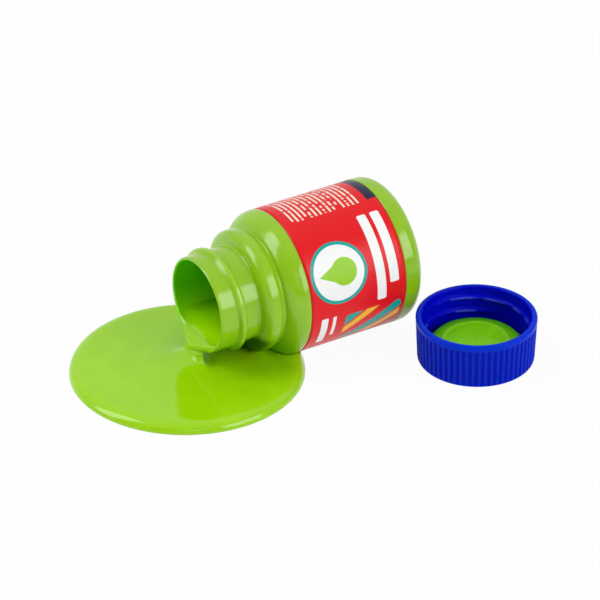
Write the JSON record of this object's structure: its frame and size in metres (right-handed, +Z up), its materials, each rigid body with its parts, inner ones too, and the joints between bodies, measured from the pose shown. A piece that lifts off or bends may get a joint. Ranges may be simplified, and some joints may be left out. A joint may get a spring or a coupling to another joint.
{
  "type": "paint jar",
  "caption": "Small screw-top plastic jar of acrylic paint lying open on its side, paint running from its mouth into a round pool, with its ribbed screw cap beside it, open end up.",
  "frame": {"origin": "on the table, under the middle of the group's bounding box", "axes": "+X along the jar's axis from its mouth to its base, +Z up from the table, +Y to the side away from the cap"},
  "size_m": [0.111, 0.0774, 0.038],
  "materials": {
    "jar_plastic": "glossy moulded plastic with green paint showing through",
    "label_film": "satin printed film",
    "wet_paint": "wet and glossy",
    "cap_plastic": "moulded, semi-gloss",
    "liner_foam": "pale, slightly soft plastic"
  },
  "bodies": {
    "jar": {"jar_body": "jar_plastic", "label": "label_film", "paint_in_jar": "wet_paint", "paint_stream": "wet_paint", "paint_pool": "wet_paint"},
    "cap_liner": {"cap_liner": "liner_foam", "cap_paint": "wet_paint"},
    "cap": {"cap_shell": "cap_plastic"}
  },
  "joints": [
    {"name": "cap_lift", "type": "slide", "parent": "jar", "child": "cap_liner", "axis": [0, 0, 1], "range_m": [0, 0.045]},
    {"name": "cap_turn", "type": "hinge", "parent": "cap_liner", "child": "cap", "pos_m": [0.0401, -0.0233, 0], "axis": [0, 0, 1], "continuous": true}
  ]
}
